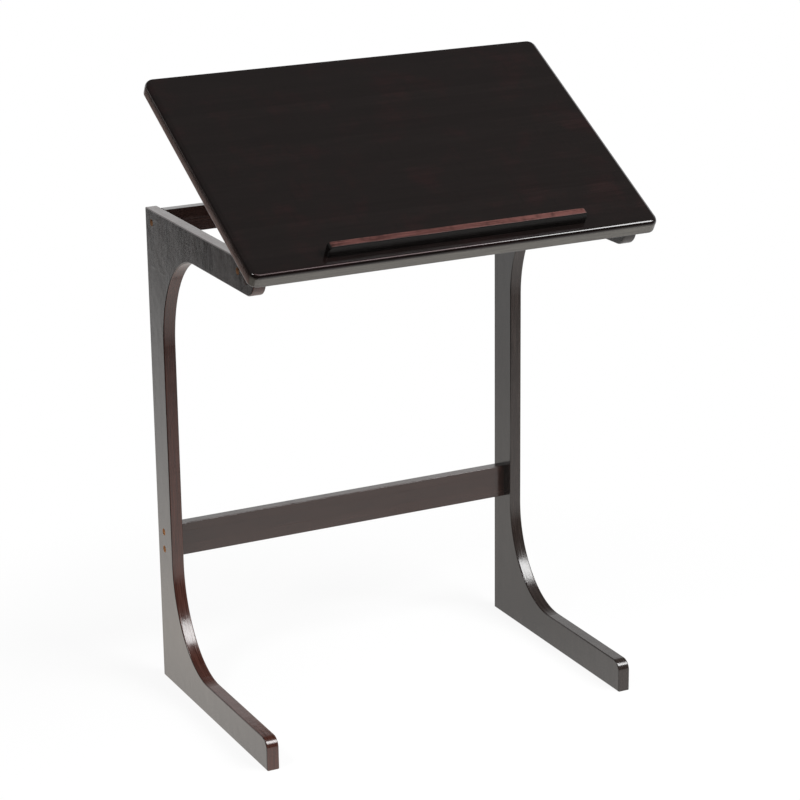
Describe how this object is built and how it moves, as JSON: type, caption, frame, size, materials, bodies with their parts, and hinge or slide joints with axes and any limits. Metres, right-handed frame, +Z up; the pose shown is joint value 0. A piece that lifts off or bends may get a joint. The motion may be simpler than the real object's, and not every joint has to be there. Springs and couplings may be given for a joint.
{
  "type": "c-shaped side table",
  "caption": "Dark wooden side table with C-shaped sides that slides over a seat, and a top that tilts on pivots and is held by a notched prop.",
  "frame": {"origin": "on the floor, in the middle of the overall width and depth at the stored tilt", "axes": "+X across the table to the right, -Y towards the open front of the C, +Z up"},
  "size_m": [0.6, 0.4004, 0.8879],
  "materials": {
    "espresso_bamboo": "dark espresso stain under clear gloss varnish, with the red-brown wood showing on worn edges",
    "bare_hardwood": "bare turned dowel",
    "zinc_steel": "bright zinc plate",
    "black_steel": "black coated steel",
    "nylon": "black moulded nylon"
  },
  "bodies": {
    "frame": {"left_side_panel": "espresso_bamboo", "right_side_panel": "espresso_bamboo", "rear_top_rail": "espresso_bamboo", "front_top_rail": "espresso_bamboo", "lower_stretcher": "espresso_bamboo", "frame_screws": "zinc_steel", "rail_dowels": "bare_hardwood", "left_prop_rack": "espresso_bamboo", "right_prop_rack": "espresso_bamboo", "rack_screws": "zinc_steel", "pivot_bolts": "black_steel", "pivot_washers": "nylon", "pivot_nuts": "zinc_steel"},
    "top": {"tabletop": "espresso_bamboo", "book_stop": "espresso_bamboo", "stop_screws": "zinc_steel", "left_pivot_bracket": "black_steel", "right_pivot_bracket": "black_steel", "bracket_screws": "zinc_steel", "left_hinge_block": "espresso_bamboo", "right_hinge_block": "espresso_bamboo", "block_screws": "zinc_steel"},
    "prop": {"left_prop_leg": "espresso_bamboo", "right_prop_leg": "espresso_bamboo", "prop_rod": "zinc_steel", "prop_crossbar": "espresso_bamboo"}
  },
  "joints": [
    {"name": "top_tilt", "type": "hinge", "parent": "frame", "child": "top", "pos_m": [0, -0.14577, 0.678], "axis": [1, 0, 0], "range_deg": [-29, 3]},
    {"name": "prop_swing", "type": "hinge", "parent": "top", "child": "prop", "pos_m": [0, -0.0254, 0.75993], "axis": [1, 0, 0], "range_deg": [-6, 58]}
  ],
  "couplings": [
    {"joint": "prop_swing", "follows": "top_tilt", "ratio": -2}
  ]
}
